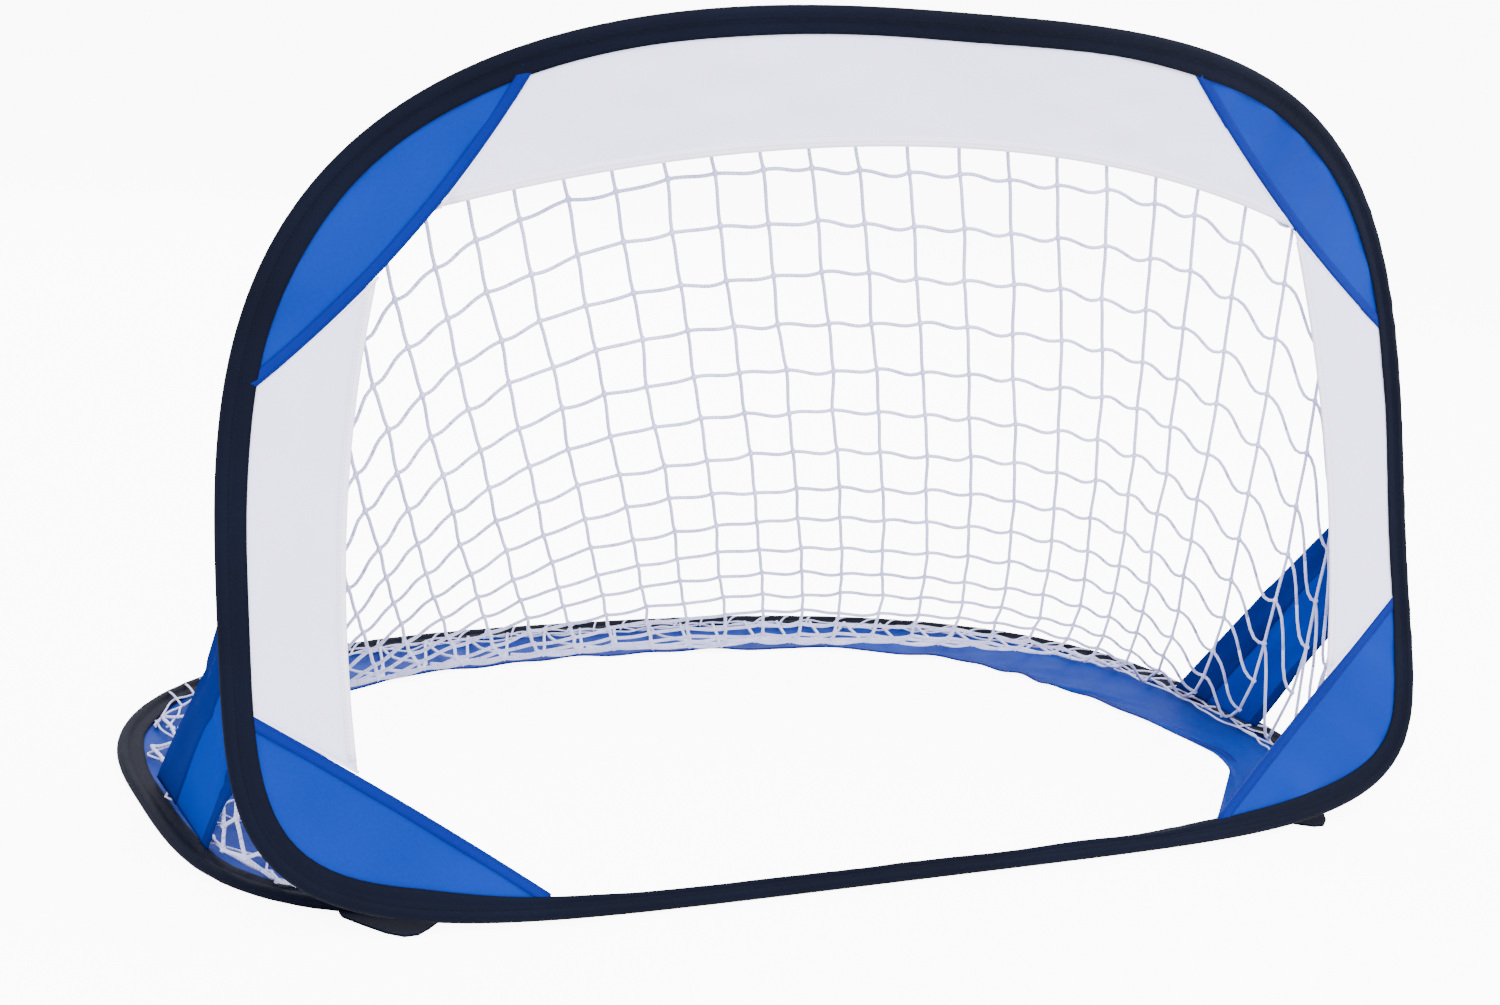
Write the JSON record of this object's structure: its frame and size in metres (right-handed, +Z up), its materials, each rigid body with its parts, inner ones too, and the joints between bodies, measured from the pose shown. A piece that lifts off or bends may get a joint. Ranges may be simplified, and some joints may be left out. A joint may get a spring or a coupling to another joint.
{
  "type": "pop up goal",
  "caption": "Pop-up ball goal: a sprung oval hoop in a cloth sleeve stands on a matching ground hoop, with a soft net, corner panels, straps and a banner.",
  "frame": {"origin": "on the ground under the middle of the goal, at the bottom centre of its bounding box", "axes": "+X to the right seen from in front of the mouth, +Y from the mouth into the goal, +Z up"},
  "size_m": [1.2002, 0.7588, 0.7401],
  "materials": {
    "spring_steel": "cold-rolled spring strip",
    "zip_metal": "bright plated",
    "navy_cloth": "matte woven sleeve cloth",
    "blue_cloth": "satin woven nylon",
    "white_cloth": "satin woven nylon",
    "net_cord": "soft knotted cord"
  },
  "bodies": {
    "base": {"base_hoop": "spring_steel", "base_hoop_ferrule": "spring_steel", "base_sleeve_front": "navy_cloth", "base_sleeve_rear": "navy_cloth", "base_band_right": "blue_cloth", "base_band_rear": "blue_cloth", "base_band_left": "blue_cloth", "left_peg_tab": "navy_cloth", "right_peg_tab": "navy_cloth", "net": "net_cord", "left_strap": "blue_cloth", "right_strap": "blue_cloth"},
    "front_frame": {"front_hoop": "spring_steel", "front_hoop_ferrule": "spring_steel", "front_sleeve_bottom": "navy_cloth", "front_sleeve_top": "navy_cloth", "bottom_left_corner_panel": "blue_cloth", "bottom_right_corner_panel": "blue_cloth", "top_left_corner_panel": "blue_cloth", "top_right_corner_panel": "blue_cloth", "top_banner": "white_cloth", "left_side_panel": "white_cloth", "right_side_panel": "white_cloth", "left_zip_tape": "navy_cloth", "right_zip_tape": "navy_cloth"},
    "left_zip_slider": {"left_zip_slider": "zip_metal"},
    "right_zip_slider": {"right_zip_slider": "zip_metal"},
    "left_zip_pull": {"left_zip_pull": "zip_metal"},
    "right_zip_pull": {"right_zip_pull": "zip_metal"}
  },
  "joints": [
    {"name": "frame_fold", "type": "hinge", "parent": "base", "child": "front_frame", "pos_m": [0, -0.3675, 0.0105], "axis": [-1, 0, 0], "range_deg": [0, 55], "stiffness_Nm_per_rad": 1.5, "springref_deg": -34.38, "deforming": ["net", "left_strap", "right_strap"]},
    {"name": "left_zip_slide", "type": "slide", "parent": "front_frame", "child": "left_zip_slider", "axis": [-0.0013, 0.6648, -0.747], "range_m": [-0.018, 0.014]},
    {"name": "left_zip_pull_swing", "type": "hinge", "parent": "left_zip_slider", "child": "left_zip_pull", "pos_m": [-0.57694, -0.23825, 0.28005], "axis": [0, 0.747, 0.6648], "range_deg": [0, 150]},
    {"name": "right_zip_slide", "type": "slide", "parent": "front_frame", "child": "right_zip_slider", "axis": [0.0013, 0.6561, -0.7547], "range_m": [-0.018, 0.014]},
    {"name": "right_zip_pull_swing", "type": "hinge", "parent": "right_zip_slider", "child": "right_zip_pull", "pos_m": [0.5769, -0.23369, 0.30065], "axis": [0, -0.7547, -0.6561], "range_deg": [0, 150]}
  ]
}
